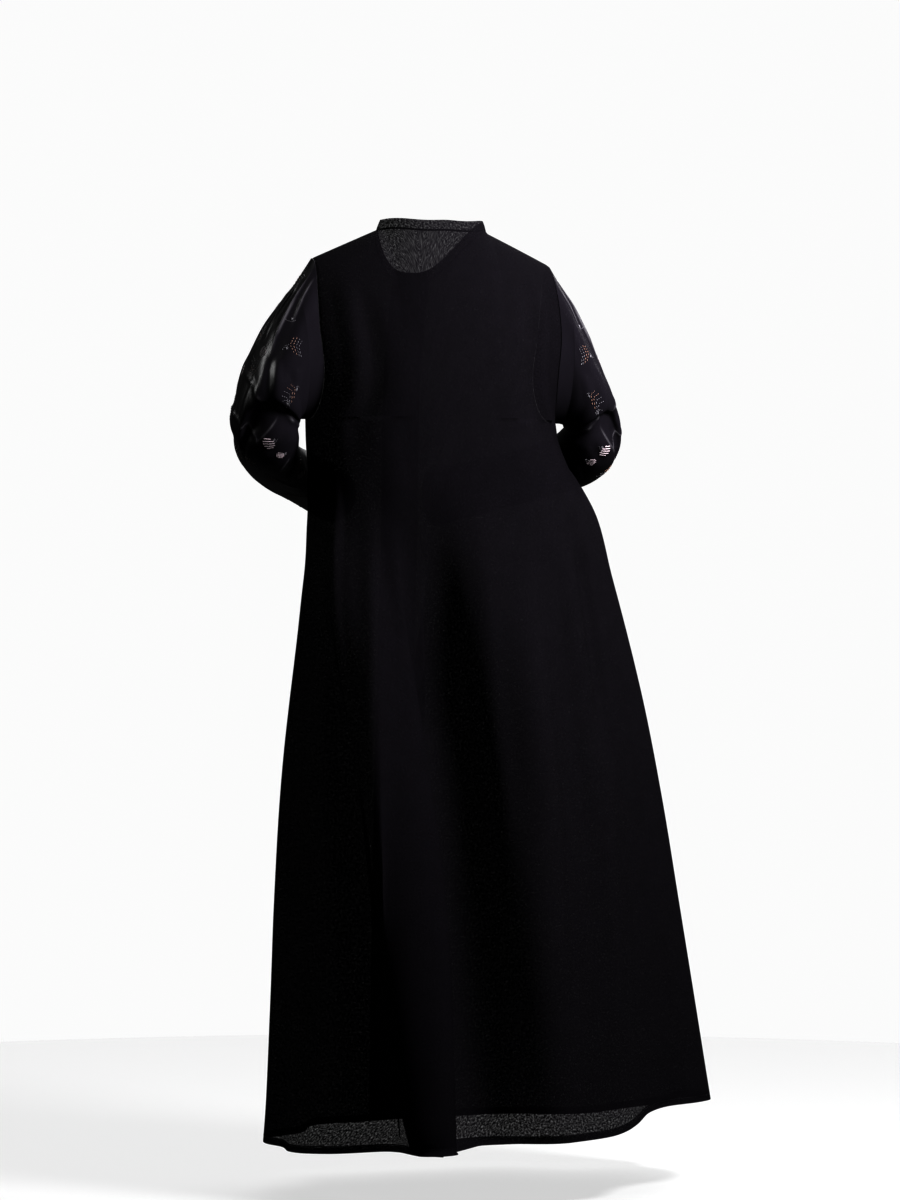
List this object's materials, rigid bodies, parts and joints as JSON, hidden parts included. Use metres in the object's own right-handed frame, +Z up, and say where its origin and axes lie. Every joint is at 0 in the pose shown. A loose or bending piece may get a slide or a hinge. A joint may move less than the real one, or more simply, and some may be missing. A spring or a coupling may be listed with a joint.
{
  "type": "abaya cloak",
  "caption": "Long flared black abaya in its worn, hollow form, with set-in sleeves bent at the elbow, a lapped front and a narrow neckband.",
  "frame": {"origin": "midway between the two shoulder tips, where the wearer's shoulders carry the cloth", "axes": "+Z up, -Y the way the wearer faces, +X towards the wearer's left"},
  "size_m": [0.7524, 0.6037, 1.4165],
  "materials": {
    "black_crepe": "matte black crepe, faintly sheer in one layer, with a soft grey sheen",
    "black_satin": "smooth satin-faced black cloth with a soft gloss on its folds",
    "copper_thread": "satin-stitch thread in a muted copper",
    "pale_thread": "satin-stitch thread in a pale pinkish white",
    "grey_thread": "fine dark grey stitching thread"
  },
  "bodies": {
    "root": {"back": "black_crepe", "front_left": "black_crepe", "front_right": "black_crepe", "neckband": "black_crepe", "sleeve_left": "black_satin", "sleeve_right": "black_satin"}
  },
  "joints": []
}
